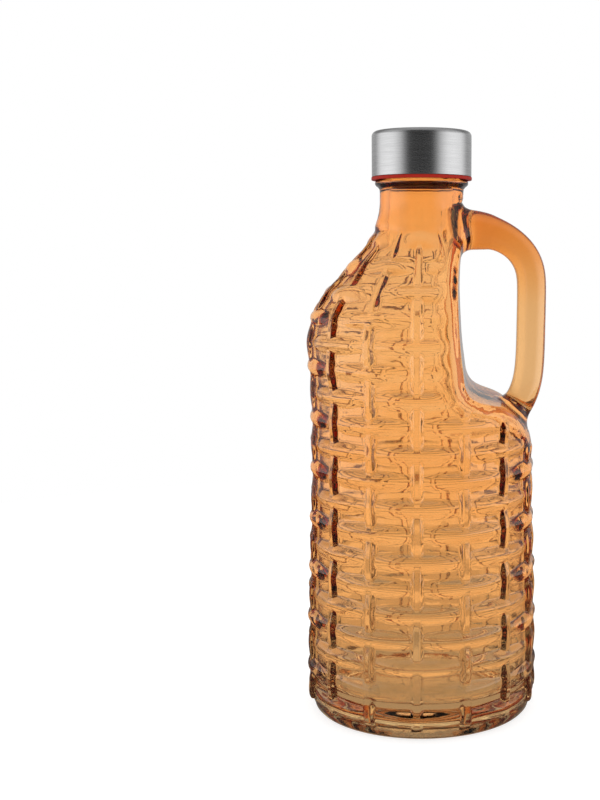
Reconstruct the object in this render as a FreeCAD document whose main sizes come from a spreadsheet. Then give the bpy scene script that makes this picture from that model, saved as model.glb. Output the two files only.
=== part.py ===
import FreeCAD, Part
import Sketcher

import math
import os

# Amber glass jug with a moulded handle, a four-start threaded finish and a
# steel-clad screw cap.  Millimetres, +Z up, origin on the bottle's axis in the
# plane of the bearing ring; the handle points along +X.

V = FreeCAD.Vector
os.makedirs("parts", exist_ok=True)
doc = FreeCAD.newDocument("JugBottle")

# ---------------------------------------------------------------- dimensions
DIMENSIONS = [
    # outside of the glass: relief envelope, radius and height pairs
    ("pushup_height", 3.6), ("pushup_radius", 30.0), ("pushup_edge_height", 2.4),
    ("ring_inner_radius", 37.0), ("ring_outer_radius", 45.5),
    ("heel_radius", 51.2), ("heel_height", 8.0), ("heel_round", 8.6),
    ("belly_radius", 51.2), ("belly_height", 30.0),
    ("waist_radius", 49.25), ("waist_height", 118.0),
    ("collar_start_radius", 49.25), ("collar_start_height", 138.0),
    ("shoulder_radius", 50.5), ("shoulder_height", 160.0), ("collar_round", 260.0),
    ("shoulder_end_radius", 44.4), ("shoulder_end_height", 181.0), ("shoulder_round", 24.0),
    ("slope_end_radius", 25.2), ("slope_end_height", 203.4),
    ("neck_radius", 17.5), ("neck_start_height", 220.0), ("neck_round", 24.5),
    ("neck_end_height", 226.0),
    ("bead_radius", 20.0), ("bead_low_height", 228.6), ("bead_top_height", 230.2),
    ("finish_radius", 18.4), ("finish_base_height", 230.9),
    ("rim_height", 248.4), ("rim_chamfer_height", 247.3), ("rim_outer_radius", 17.4),
    # inside of the glass
    ("floor_centre_height", 8.8), ("floor_edge_radius", 34.0), ("floor_edge_height", 9.2),
    ("inner_heel_radius", 46.4), ("inner_heel_height", 21.0), ("inner_heel_round", 12.2),
    ("inner_belly_height", 40.0),
    ("inner_waist_radius", 44.6), ("inner_waist_height", 118.0),
    ("inner_collar_height", 138.0),
    ("inner_shoulder_radius", 45.7), ("inner_shoulder_height", 159.0),
    ("inner_collar_round", 230.0),
    ("inner_slope_radius", 40.4), ("inner_slope_height", 178.0), ("inner_shoulder_round", 21.0),
    ("inner_slope_end_radius", 21.8), ("inner_slope_end_height", 200.0),
    ("bore_radius", 14.0), ("bore_start_height", 217.0), ("inner_neck_round", 24.0),
    ("bore_end_height", 247.6), ("bore_mouth_radius", 15.0), ("bore_mouth_height", 248.6),
    ("bore_top_height", 256.0),
    # finger scoop under the handle, cut along Y
    ("scoop_top_x", 20.2), ("scoop_top_z", 216.0),
    ("scoop_wall_x", 16.9), ("scoop_wall_z", 186.0),
    ("scoop_low_x", 18.8), ("scoop_low_z", 152.0),
    ("scoop_floor_x", 31.0), ("scoop_floor_z", 138.6), ("scoop_corner", 13.0),
    ("scoop_lip_x", 36.5), ("scoop_lip_z", 137.4),
    ("scoop_edge_x", 52.0), ("scoop_edge_z", 122.6), ("scoop_lip_round", 20.0),
    ("scoop_far_x", 75.0),
    # the same hollow on the inside, one wall thickness away
    ("inner_scoop_top_x", 16.0), ("inner_scoop_top_z", 216.0),
    ("inner_scoop_wall_x", 12.4), ("inner_scoop_wall_z", 186.0),
    ("inner_scoop_low_x", 14.4), ("inner_scoop_low_z", 150.0),
    ("inner_scoop_floor_x", 29.0), ("inner_scoop_floor_z", 133.6), ("inner_scoop_corner", 15.6),
    ("inner_scoop_lip_x", 33.5), ("inner_scoop_lip_z", 132.4),
    ("inner_scoop_edge_x", 49.0), ("inner_scoop_edge_z", 116.5), ("inner_scoop_lip_round", 19.0),
    # handle
    ("handle_start_x", 12.8), ("handle_start_z", 210.6),
    ("handle_bend_x", 27.1), ("handle_bend_z", 209.8), ("handle_bend_round", 20.9),
    ("handle_straight_x", 48.0), ("handle_straight_z", 188.9),
    ("handle_knee_x", 47.3), ("handle_knee_z", 150.0),
    ("handle_foot_x", 43.6), ("handle_foot_z", 126.5), ("handle_knee_round", 80.0),
    ("handle_half_width", 6.3), ("handle_half_depth", 7.0),
    # thread
    ("thread_lead", 12.8), ("thread_turn_part", 0.28), ("thread_starts", 4.0),
    ("glass_thread_inside", 18.0), ("glass_thread_crest", 19.5),
    ("glass_thread_low", 235.2), ("glass_thread_high", 236.6),
    ("glass_crest_low", 235.55), ("glass_crest_high", 236.25),
    ("insert_thread_inside", 20.3), ("insert_thread_crest", 18.8),
    ("insert_thread_low", 233.75), ("insert_thread_high", 234.85),
    ("insert_crest_low", 234.0), ("insert_crest_high", 234.6),
    # cap
    ("liner_radius", 19.4), ("liner_low", 248.42), ("liner_thickness", 1.55),
    ("insert_bore", 19.9), ("insert_roof_low", 249.99), ("insert_top", 250.77),
    ("insert_radius", 20.9), ("insert_top_chamfer", 1.9), ("insert_flange_radius", 21.55),
    ("insert_bottom", 230.6), ("insert_flange_top", 232.0),
    ("overcap_inside", 20.95), ("overcap_radius", 21.35), ("overcap_bottom", 232.05),
    ("overcap_roof_low", 250.8), ("overcap_top", 251.2),
    ("overcap_corner_out", 2.0), ("overcap_corner_in", 1.6),
]
sheet = doc.addObject("Spreadsheet::Sheet", "Dimensions")
for row, (alias, value) in enumerate(DIMENSIONS, start=1):
    sheet.set("A%d" % row, alias)
    sheet.set("B%d" % row, repr(float(value)))
    sheet.setAlias("B%d" % row, alias)
doc.recompute()
size = {alias: float(sheet.get(alias)) for alias, _ in DIMENSIONS}


def bound(alias):
    return "Dimensions.%s" % alias


# ------------------------------------------------------------------- helpers
def origin_feature(body, role):
    for feature in body.Origin.OriginFeatures:
        if feature.Role == role:
            return feature
    raise RuntimeError("no %s in %s" % (role, body.Name))


def new_body(label):
    body = doc.addObject("PartDesign::Body", label)
    body.Label = label
    return body


def new_sketch(body, name, role="XZ_Plane"):
    sketch = body.newObject("Sketcher::SketchObject", name)
    sketch.AttachmentSupport = [(origin_feature(body, role), "")]
    sketch.MapMode = "FlatFace"
    return sketch


def pin_point(sketch, geo, pos, alias_x, alias_y):
    """Fix one point of a sketch to two cells; None puts it on that axis."""
    if alias_x is None:
        sketch.addConstraint(Sketcher.Constraint("PointOnObject", geo, pos, -2))
    else:
        index = sketch.addConstraint(
            Sketcher.Constraint("DistanceX", -1, 1, geo, pos, size[alias_x]))
        sketch.setExpression("Constraints[%d]" % index, bound(alias_x))
    if alias_y is None:
        sketch.addConstraint(Sketcher.Constraint("PointOnObject", geo, pos, -1))
    else:
        index = sketch.addConstraint(
            Sketcher.Constraint("DistanceY", -1, 1, geo, pos, size[alias_y]))
        sketch.setExpression("Constraints[%d]" % index, bound(alias_y))


def arc_middle(start, end, radius, bulge):
    """Middle point of the minor arc; bulge +1 lies left of start to end."""
    chord = end - start
    half = chord.Length / 2.0
    sagitta = radius - math.sqrt(max(radius * radius - half * half, 0.0))
    normal = V(-chord.y, chord.x, 0).normalize()
    return (start + end) * 0.5 + normal * (sagitta * bulge)


def outline(sketch, points, arcs=None, closed=True):
    """Lines and arcs through points; arcs maps a segment to (radius cell, side)."""
    arcs = arcs or {}
    value = [V(size[a] if a else 0.0, size[b] if b else 0.0, 0) for a, b in points]
    count = len(points)
    ends = []
    for i in range(count if closed else count - 1):
        j = (i + 1) % count
        if i in arcs:
            alias, side = arcs[i]
            middle = arc_middle(value[i], value[j], size[alias], side)
            geo = sketch.addGeometry(Part.Arc(value[i], middle, value[j]), False)
            first = 1 if (sketch.getPoint(geo, 1) - value[i]).Length < 1e-4 else 2
            ends.append((geo, first, 3 - first))
        else:
            geo = sketch.addGeometry(Part.LineSegment(value[i], value[j]), False)
            ends.append((geo, 1, 2))
    for i in range(len(ends) if closed else len(ends) - 1):
        j = (i + 1) % len(ends)
        sketch.addConstraint(Sketcher.Constraint(
            "Coincident", ends[i][0], ends[i][2], ends[j][0], ends[j][1]))
    for i, (alias_x, alias_y) in enumerate(points):
        if i < len(ends):
            pin_point(sketch, ends[i][0], ends[i][1], alias_x, alias_y)
        else:
            pin_point(sketch, ends[-1][0], ends[-1][2], alias_x, alias_y)
    for i, (alias, _) in arcs.items():
        index = sketch.addConstraint(
            Sketcher.Constraint("Radius", ends[i][0], size[alias]))
        sketch.setExpression("Constraints[%d]" % index, bound(alias))
    doc.recompute()
    return sketch


def revolve(body, sketch, name):
    feature = body.newObject("PartDesign::Revolution", name)
    feature.Profile = sketch
    feature.ReferenceAxis = (sketch, ["V_Axis"])
    feature.Angle = 360.0
    doc.recompute()
    return feature


def cut_through(body, sketch, name):
    before = body.Shape.Volume
    feature = body.newObject("PartDesign::Pocket", name)
    feature.Profile = sketch
    feature.SideType = "Symmetric"
    feature.Type = "ThroughAll"
    doc.recompute()
    if body.Shape.Volume >= before - 1.0:
        raise RuntimeError("%s removed nothing" % name)
    return feature


def round_rim(body, base, name, alias, wanted):
    """Round the edges of base that wanted() accepts."""
    names = ["Edge%d" % i for i, edge in enumerate(base.Shape.Edges, start=1) if wanted(edge)]
    if not names:
        raise RuntimeError("%s found no edge" % name)
    feature = body.newObject("PartDesign::Fillet", name)
    feature.Base = (base, names)
    feature.setExpression("Radius", bound(alias))
    doc.recompute()
    return feature


def add_thread(body, name, corners):
    sketch = new_sketch(body, name + "_section")
    outline(sketch, corners)
    helix = body.newObject("PartDesign::AdditiveHelix", name)
    helix.Profile = sketch
    helix.ReferenceAxis = (sketch, ["V_Axis"])
    helix.Mode = "pitch-turns-angle"
    helix.setExpression("Pitch", bound("thread_lead"))
    helix.setExpression("Turns", bound("thread_turn_part"))
    helix.Angle = 0.0
    helix.LeftHanded = False
    helix.Reversed = False
    doc.recompute()
    starts = body.newObject("PartDesign::PolarPattern", name + "_starts")
    starts.Originals = [helix]
    starts.Axis = (origin_feature(body, "Z_Axis"), [""])
    starts.Angle = 360.0
    starts.Occurrences = 4
    starts.setExpression("Occurrences", bound("thread_starts"))
    body.Tip = starts
    doc.recompute()
    return starts


# --------------------------------------------------------- outside of the glass
outer = new_body("glass_outside")
outer_sketch = new_sketch(outer, "outside_profile")
outline(outer_sketch, [
    (None, "pushup_height"),
    ("pushup_radius", "pushup_edge_height"),
    ("ring_inner_radius", None),
    ("ring_outer_radius", None),
    ("heel_radius", "heel_height"),
    ("belly_radius", "belly_height"),
    ("waist_radius", "waist_height"),
    ("collar_start_radius", "collar_start_height"),
    ("shoulder_radius", "shoulder_height"),
    ("shoulder_end_radius", "shoulder_end_height"),
    ("slope_end_radius", "slope_end_height"),
    ("neck_radius", "neck_start_height"),
    ("neck_radius", "neck_end_height"),
    ("bead_radius", "bead_low_height"),
    ("bead_radius", "bead_top_height"),
    ("finish_radius", "finish_base_height"),
    ("finish_radius", "rim_chamfer_height"),
    ("rim_outer_radius", "rim_height"),
    (None, "rim_height"),
], arcs={
    3: ("heel_round", -1),
    7: ("collar_round", 1),
    8: ("shoulder_round", -1),
    10: ("neck_round", 1),
})
revolve(outer, outer_sketch, "outside_turned")

scoop_sketch = new_sketch(outer, "scoop_outline")
outline(scoop_sketch, [
    ("scoop_top_x", "scoop_top_z"),
    ("scoop_wall_x", "scoop_wall_z"),
    ("scoop_low_x", "scoop_low_z"),
    ("scoop_floor_x", "scoop_floor_z"),
    ("scoop_lip_x", "scoop_lip_z"),
    ("scoop_edge_x", "scoop_edge_z"),
    ("scoop_far_x", "scoop_edge_z"),
    ("scoop_far_x", "scoop_top_z"),
], arcs={2: ("scoop_corner", -1), 4: ("scoop_lip_round", 1)})
cut_through(outer, scoop_sketch, "finger_scoop")


# handle: oval bar from the neck, over and down to the lip of the scoop
path = new_sketch(outer, "handle_path")
outline(path, [
    ("handle_start_x", "handle_start_z"),
    ("handle_bend_x", "handle_bend_z"),
    ("handle_straight_x", "handle_straight_z"),
    ("handle_knee_x", "handle_knee_z"),
    ("handle_foot_x", "handle_foot_z"),
], arcs={1: ("handle_bend_round", 1), 3: ("handle_knee_round", 1)}, closed=False)

section = new_sketch(outer, "handle_section", "YZ_Plane")
section.AttachmentOffset = FreeCAD.Placement(V(0, 0, size["handle_start_x"]), FreeCAD.Rotation())
section.setExpression("AttachmentOffset.Base.z", bound("handle_start_x"))
section.addGeometry(Part.Ellipse(V(0, size["handle_start_z"], 0), size["handle_half_depth"],
                                 size["handle_half_width"]), False)
doc.recompute()
section.exposeInternalGeometry(0)
doc.recompute()
index = section.addConstraint(Sketcher.Constraint(
    "DistanceY", -1, 1, 0, 3, size["handle_start_z"]))
section.setExpression("Constraints[%d]" % index, bound("handle_start_z"))
section.addConstraint(Sketcher.Constraint("PointOnObject", 0, 3, -2))
# the two axes of the oval: 1 is the long one (depth), 2 the short one (width)
section.addConstraint(Sketcher.Constraint("Horizontal", 1))
index = section.addConstraint(Sketcher.Constraint(
    "Distance", 1, 1, 1, 2, 2 * size["handle_half_depth"]))
section.setExpression("Constraints[%d]" % index, "2 * " + bound("handle_half_depth"))
index = section.addConstraint(Sketcher.Constraint(
    "Distance", 2, 1, 2, 2, 2 * size["handle_half_width"]))
section.setExpression("Constraints[%d]" % index, "2 * " + bound("handle_half_width"))
doc.recompute()
before = outer.Shape.Volume
handle = outer.newObject("PartDesign::AdditivePipe", "handle")
handle.Profile = section
handle.Spine = (path, [])
handle.Mode = "Standard"
handle.Transition = "Transformed"
doc.recompute()
print("handle adds %.0f mm3" % (outer.Shape.Volume - before))

add_thread(outer, "glass_thread", [
    ("glass_thread_inside", "glass_thread_low"),
    ("glass_thread_crest", "glass_crest_low"),
    ("glass_thread_crest", "glass_crest_high"),
    ("glass_thread_inside", "glass_thread_high"),
])

# ---------------------------------------------------------- inside of the glass
cavity = new_body("glass_inside")
inner_sketch = new_sketch(cavity, "inside_profile")
outline(inner_sketch, [
    (None, "floor_centre_height"),
    ("floor_edge_radius", "floor_edge_height"),
    ("inner_heel_radius", "inner_heel_height"),
    ("inner_heel_radius", "inner_belly_height"),
    ("inner_waist_radius", "inner_waist_height"),
    ("inner_waist_radius", "inner_collar_height"),
    ("inner_shoulder_radius", "inner_shoulder_height"),
    ("inner_slope_radius", "inner_slope_height"),
    ("inner_slope_end_radius", "inner_slope_end_height"),
    ("bore_radius", "bore_start_height"),
    ("bore_radius", "bore_end_height"),
    ("bore_mouth_radius", "bore_mouth_height"),
    ("bore_mouth_radius", "bore_top_height"),
    (None, "bore_top_height"),
], arcs={
    1: ("inner_heel_round", -1),
    5: ("inner_collar_round", 1),
    6: ("inner_shoulder_round", -1),
    8: ("inner_neck_round", 1),
})
revolve(cavity, inner_sketch, "inside_turned")
inner_scoop_sketch = new_sketch(cavity, "inner_scoop_outline")
outline(inner_scoop_sketch, [
    ("inner_scoop_top_x", "inner_scoop_top_z"),
    ("inner_scoop_wall_x", "inner_scoop_wall_z"),
    ("inner_scoop_low_x", "inner_scoop_low_z"),
    ("inner_scoop_floor_x", "inner_scoop_floor_z"),
    ("inner_scoop_lip_x", "inner_scoop_lip_z"),
    ("inner_scoop_edge_x", "inner_scoop_edge_z"),
    ("scoop_far_x", "inner_scoop_edge_z"),
    ("scoop_far_x", "inner_scoop_top_z"),
], arcs={2: ("inner_scoop_corner", -1), 4: ("inner_scoop_lip_round", 1)})
cut_through(cavity, inner_scoop_sketch, "inner_scoop")

bottle = doc.addObject("Part::Cut", "glass_bottle")
bottle.Label = "glass_bottle"
bottle.Base = outer
bottle.Tool = cavity
bottle.Refine = False
doc.recompute()

# ------------------------------------------------------------------------- cap
liner = new_body("sealing_liner")
liner_sketch = new_sketch(liner, "liner_disc", "XY_Plane")
liner_sketch.AttachmentOffset = FreeCAD.Placement(V(0, 0, size["liner_low"]), FreeCAD.Rotation())
liner_sketch.setExpression("AttachmentOffset.Base.z", bound("liner_low"))
liner_sketch.addGeometry(Part.Circle(V(0, 0, 0), V(0, 0, 1), size["liner_radius"]), False)
liner_sketch.addConstraint(Sketcher.Constraint("Coincident", 0, 3, -1, 1))
index = liner_sketch.addConstraint(Sketcher.Constraint("Radius", 0, size["liner_radius"]))
liner_sketch.setExpression("Constraints[%d]" % index, bound("liner_radius"))
liner_pad = liner.newObject("PartDesign::Pad", "liner_thickness_pad")
liner_pad.Profile = liner_sketch
liner_pad.setExpression("Length", bound("liner_thickness"))
doc.recompute()

insert = new_body("threaded_insert")
insert_sketch = new_sketch(insert, "insert_profile")
outline(insert_sketch, [
    (None, "insert_roof_low"),
    ("insert_bore", "insert_roof_low"),
    ("insert_bore", "insert_bottom"),
    ("insert_flange_radius", "insert_bottom"),
    ("insert_flange_radius", "insert_flange_top"),
    ("insert_radius", "insert_flange_top"),
    ("insert_radius", "insert_top"),
    (None, "insert_top"),
])
insert_turned = revolve(insert, insert_sketch, "insert_turned")


def insert_top_edge(edge):
    box = edge.BoundBox
    return box.ZMin > size["insert_top"] - 0.01 and box.XMax > size["insert_radius"] - 0.01


round_rim(insert, insert_turned, "insert_shoulder", "insert_top_chamfer", insert_top_edge)
add_thread(insert, "insert_thread", [
    ("insert_thread_inside", "insert_thread_low"),
    ("insert_thread_inside", "insert_thread_high"),
    ("insert_thread_crest", "insert_crest_high"),
    ("insert_thread_crest", "insert_crest_low"),
])

overcap = new_body("steel_overcap")
overcap_sketch = new_sketch(overcap, "overcap_profile")
outline(overcap_sketch, [
    (None, "overcap_roof_low"),
    ("overcap_inside", "overcap_roof_low"),
    ("overcap_inside", "overcap_bottom"),
    ("overcap_radius", "overcap_bottom"),
    ("overcap_radius", "overcap_top"),
    (None, "overcap_top"),
])
overcap_turned = revolve(overcap, overcap_sketch, "overcap_drawn")


def overcap_outer_corner(edge):
    box = edge.BoundBox
    return box.ZMin > size["overcap_top"] - 0.01 and box.XMax > size["overcap_radius"] - 0.01


def overcap_inner_corner(edge):
    box = edge.BoundBox
    return (abs(box.ZMin - size["overcap_roof_low"]) < 0.01
            and abs(box.ZMax - size["overcap_roof_low"]) < 0.01
            and abs(box.XMax - size["overcap_inside"]) < 0.01)


overcap_outer = round_rim(overcap, overcap_turned, "overcap_corner", "overcap_corner_out",
                          overcap_outer_corner)
round_rim(overcap, overcap_outer, "overcap_inner_corner", "overcap_corner_in",
          overcap_inner_corner)
doc.recompute()

# --------------------------------------------------------------------- writing
for thing in doc.Objects:
    if "Invalid" in thing.State or "Error" in thing.State:
        raise RuntimeError("%s failed: %s" % (thing.Name, thing.State))

for sub_part in (bottle, liner, insert, overcap):
    shape = sub_part.Shape
    if shape.isNull() or not shape.isValid() or len(shape.Solids) != 1:
        raise RuntimeError("%s has no valid single solid (%d)"
                           % (sub_part.Label, len(shape.Solids)))
    shape.exportStep("parts/%s.step" % sub_part.Label)
    box = shape.BoundBox
    print("%-16s volume %9.1f mm3  x %.2f..%.2f  y %.2f..%.2f  z %.2f..%.2f  faces %d" % (
        sub_part.Label, shape.Volume, box.XMin, box.XMax, box.YMin, box.YMax,
        box.ZMin, box.ZMax, len(shape.Faces)))
print("cavity volume %.1f ml" % (cavity.Shape.Volume / 1000.0))
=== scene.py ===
import math

import bmesh
import bpy
import numpy as np
from mathutils import Matrix, Vector


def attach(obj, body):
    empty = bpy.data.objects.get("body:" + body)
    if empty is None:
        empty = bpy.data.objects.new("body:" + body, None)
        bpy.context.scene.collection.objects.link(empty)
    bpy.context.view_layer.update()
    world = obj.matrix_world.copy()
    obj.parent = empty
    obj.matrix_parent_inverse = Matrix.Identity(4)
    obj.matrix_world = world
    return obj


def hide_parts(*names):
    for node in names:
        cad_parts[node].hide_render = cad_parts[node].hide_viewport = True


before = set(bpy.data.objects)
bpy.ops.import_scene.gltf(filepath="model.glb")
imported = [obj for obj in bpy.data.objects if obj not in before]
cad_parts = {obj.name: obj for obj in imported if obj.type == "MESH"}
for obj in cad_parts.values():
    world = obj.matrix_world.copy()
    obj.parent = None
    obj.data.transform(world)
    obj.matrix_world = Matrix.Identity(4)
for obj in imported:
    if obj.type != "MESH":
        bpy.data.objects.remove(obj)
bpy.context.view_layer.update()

MM = 0.001
TAU = 2 * math.pi
scene = bpy.context.scene


# ------------------------------------------------------------------ small maths
def smooth(edge0, edge1, x):
    t = np.clip((np.asarray(x, float) - edge0) / (edge1 - edge0), 0, 1)
    return t * t * (3 - 2 * t)


def curve(points):
    """Monotone cubic through (x, y) points, as a function of arrays."""
    p = np.array(points, float)
    x, y = p[:, 0], p[:, 1]
    h = np.diff(x)
    d = np.diff(y) / h
    m = np.zeros_like(y)
    m[0], m[-1] = d[0], d[-1]
    same = d[:-1] * d[1:] > 0
    w1, w2 = 2 * h[1:] + h[:-1], h[1:] + 2 * h[:-1]
    with np.errstate(divide="ignore", invalid="ignore"):
        harmonic = (w1 + w2) / (w1 / d[:-1] + w2 / d[1:])
    m[1:-1] = np.where(same, harmonic, 0.0)

    def f(v):
        v = np.asarray(v, float)
        i = np.clip(np.searchsorted(x, v) - 1, 0, len(h) - 1)
        t = np.clip((v - x[i]) / h[i], 0, 1)
        t2, t3 = t * t, t * t * t
        return ((2 * t3 - 3 * t2 + 1) * y[i] + (t3 - 2 * t2 + t) * h[i] * m[i]
                + (-2 * t3 + 3 * t2) * y[i + 1] + (t3 - t2) * h[i] * m[i + 1])
    return f


def soft_min(a, b, k):
    h = np.clip(k - np.abs(a - b), 0, None) / k
    return np.minimum(a, b) - h * h * k * 0.25


def soft_max(a, b, k):
    return -soft_min(-a, -b, k)


def lattice(seed):
    rng = np.random.RandomState(seed)
    return rng.rand(64, 64, 64)


def value_noise(p, scale, seed):
    """Smooth value noise in -1..1 at points p (n, 3), one cell per scale mm."""
    table = lattice(seed)
    q = np.asarray(p, float) / scale + 1000.0
    i = np.floor(q).astype(int)
    f = q - i
    f = f * f * f * (f * (f * 6 - 15) + 10)
    out = 0.0
    for dx in (0, 1):
        for dy in (0, 1):
            for dz in (0, 1):
                w = ((f[..., 0] if dx else 1 - f[..., 0])
                     * (f[..., 1] if dy else 1 - f[..., 1])
                     * (f[..., 2] if dz else 1 - f[..., 2]))
                out = out + w * table[(i[..., 0] + dx) % 64, (i[..., 1] + dy) % 64,
                                      (i[..., 2] + dz) % 64]
    return out * 2 - 1


# ------------------------------------------------------- shape of the glass (mm)
# envelope of the outside: height, radius
ENVELOPE = curve([
    (-1, 45.6), (0.0, 45.9), (0.35, 47.0), (1.1, 48.2), (2.2, 49.3), (3.6, 50.2), (5.6, 50.9),
    (8.2, 51.15), (14.6, 51.2), (29.5, 51.15), (44.3, 50.8), (59.1, 50.4), (73.7, 50.0),
    (88.3, 49.65), (102.7, 49.35), (117.1, 49.25), (128.0, 49.2), (138.5, 49.25), (145.5, 49.6),
    (152.6, 50.25), (157.5, 50.55), (161.5, 50.5), (166.7, 49.9), (170.2, 49.2), (173.7, 48.2),
    (177.1, 46.8), (180.6, 44.7), (184.1, 42.0), (187.6, 39.0), (191.0, 36.1), (194.5, 33.1),
    (198.0, 30.1), (201.4, 27.1), (204.9, 24.2), (208.3, 21.8), (211.7, 20.0), (215.2, 18.85),
    (218.6, 18.2), (222.0, 17.95), (225.0, 17.95), (226.6, 18.05), (227.3, 18.4), (227.9, 19.1),
    (228.4, 19.7), (229.0, 20.0), (229.7, 20.0), (230.1, 19.8), (230.5, 19.2), (230.9, 18.55), (231.4, 18.4),
    (233.0, 18.4), (246.8, 18.4), (247.6, 18.2), (248.15, 17.7), (248.4, 17.0), (249.0, 16.9),
])
# inside: height, radius
INSIDE = curve([
    (9.0, 30.0), (9.2, 34.0), (10.2, 38.6), (12.2, 42.0), (15.0, 44.5), (18.5, 45.9), (22.0, 46.35),
    (40.0, 46.2), (80.0, 45.2), (118.0, 44.5), (138.0, 44.5), (150.0, 45.3), (159.0, 45.7),
    (166.0, 45.0), (172.0, 43.4), (178.0, 40.2), (183.0, 36.4), (190.0, 30.4), (197.0, 24.4),
    (203.0, 19.6), (209.0, 16.2), (214.0, 14.5), (220.0, 13.9), (226.0, 13.9), (234.0, 14.0),
    (246.6, 14.0), (247.6, 14.2), (248.2, 14.8), (248.6, 15.4), (257.0, 15.6),
])

# outline of the finger scoop in the plane of the handle: x where the glass ends
SCOOP = np.array([
    (70.0, 99.0), (60.0, 108.5), (55.0, 114.0), (51.5, 119.0), (48.6, 123.8), (45.4, 128.4),
    (41.8, 132.8), (38.2, 135.9), (34.6, 137.6), (30.6, 138.7), (27.0, 139.7), (24.0, 141.3),
    (21.7, 143.8), (20.2, 147.2), (19.2, 152.0), (18.4, 158.0), (17.8, 165.0), (17.3, 174.0),
    (16.9, 184.0), (17.1, 192.0), (17.7, 199.0), (18.8, 206.0), (20.6, 214.0), (23.5, 222.0),
    (30.0, 232.0),
])


def smooth_polyline(points, rounds):
    for _ in range(rounds):
        a, b = points[:-1], points[1:]
        cut = np.empty((2 * len(a), 2))
        cut[0::2], cut[1::2] = 0.75 * a + 0.25 * b, 0.25 * a + 0.75 * b
        points = np.vstack([points[:1], cut, points[-1:]])
    return points


def distance_grid(line, xs, zs):
    """Signed distance to the scoop outline on a grid: positive in the glass."""
    gx, gz = np.meshgrid(xs, zs, indexing="ij")
    p = np.stack([gx, gz], -1)
    best = np.full(gx.shape, 1e9)
    sign = np.ones(gx.shape)
    for a, b in zip(line[:-1], line[1:]):
        ab, ap = b - a, p - a
        t = np.clip((ap @ ab) / (ab @ ab), 0, 1)
        d = np.linalg.norm(ap - t[..., None] * ab, axis=-1)
        side = ab[0] * ap[..., 1] - ab[1] * ap[..., 0]
        nearer = d < best - 1e-9
        best = np.where(nearer, d, best)
        sign = np.where(nearer, np.where(side > 0, 1.0, -1.0), sign)
    return best * sign


SX, SZ = np.arange(-8, 72.01, 0.5), np.arange(90, 240.01, 0.5)
SCOOP_FIELD = distance_grid(smooth_polyline(SCOOP, 3), SX, SZ)


def scoop_distance(x, y, z):
    # the floor of the scoop is crowned, its upright wall is straight
    x = x + 0.09 * (1 - smooth(132.0, 154.0, z)) * (np.sqrt(y * y + 196.0) - 14.0)
    fx = np.clip((x - SX[0]) / 0.5, 0, len(SX) - 1.001)
    fz = np.clip((z - SZ[0]) / 0.5, 0, len(SZ) - 1.001)
    i, j = fx.astype(int), fz.astype(int)
    a, b = fx - i, fz - j
    g = SCOOP_FIELD
    d = ((1 - a) * (1 - b) * g[i, j] + a * (1 - b) * g[i + 1, j]
         + (1 - a) * b * g[i, j + 1] + a * b * g[i + 1, j + 1])
    # above the field the neck is round again
    return d + np.clip(z - 214.0, 0, None) * 2.0


RIM_ROUND = 5.5


def outer_field(x, y, z):
    """Positive inside the smooth outer form."""
    return soft_min(ENVELOPE(z) - np.hypot(x, y), scoop_distance(x, y, z), RIM_ROUND)


def inner_field(x, y, z):
    return soft_min(INSIDE(z) - np.hypot(x, y), scoop_distance(x, y, z) - 4.3, 3.0)


def radius_of(field, theta, z, top):
    """Distance from the axis at which field is zero, for arrays theta and z."""
    c, s = np.cos(theta), np.sin(theta)
    lo, hi = np.zeros_like(theta), np.full_like(theta, top)
    for _ in range(34):
        mid = 0.5 * (lo + hi)
        inside = field(mid * c, mid * s, z) > 0
        lo = np.where(inside, mid, lo)
        hi = np.where(inside, hi, mid)
    return 0.5 * (lo + hi)


def column_points(field, thetas, z_rows, z_fine, top, lift_from, lift_to):
    """Points (rows, columns, 3) on a form; beside the scoop the rows follow its slope."""
    tf, zf = np.meshgrid(thetas, z_fine, indexing="ij")
    rf = radius_of(field, tf, zf, top)
    step = np.hypot(np.diff(rf, axis=1), np.diff(zf, axis=1))
    run = np.concatenate([np.zeros((len(thetas), 1)), np.cumsum(step, axis=1)], axis=1)
    far = np.argmin(np.cos(thetas))
    base_run = np.interp(z_rows, z_fine, run[far])
    i0, i1 = np.interp([lift_from, lift_to], z_fine, run[far])
    g = np.clip((base_run - i0) / (i1 - i0), 0, 1)
    out = np.zeros((len(z_rows), len(thetas), 3))
    off = np.abs((thetas + math.pi) % TAU - math.pi)
    for j, theta in enumerate(thetas):
        own = np.interp(z_rows, z_fine, run[j])
        at0, at1 = np.interp([lift_from, lift_to], z_fine, run[j])
        even = np.where(base_run < i0, own, np.where(base_run > i1, own, at0 + g * (at1 - at0)))
        w = 1 - smooth(math.radians(60), math.radians(73), off[j])
        s = (1 - w) * own + w * even
        r = np.interp(s, run[j], rf[j])
        z = np.interp(s, run[j], zf[j])
        out[:, j, 0], out[:, j, 1], out[:, j, 2] = r * math.cos(theta), r * math.sin(theta), z
    return out


# ------------------------------------------------------------ basket-weave relief
RIBS = 15
TURN = math.radians(6.0)                           # one rib faces the front
PITCH = 10.94
FIRST = 9.4
DEPTH = 2.3


def bevel(inner, outer, x):
    """One inside inner, nought outside outer, a straight bevel with eased corners between."""
    t = np.clip((outer - x) / (outer - inner), 0, 1)
    return 0.7 * t + 0.3 * t * t * (3 - 2 * t)


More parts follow.
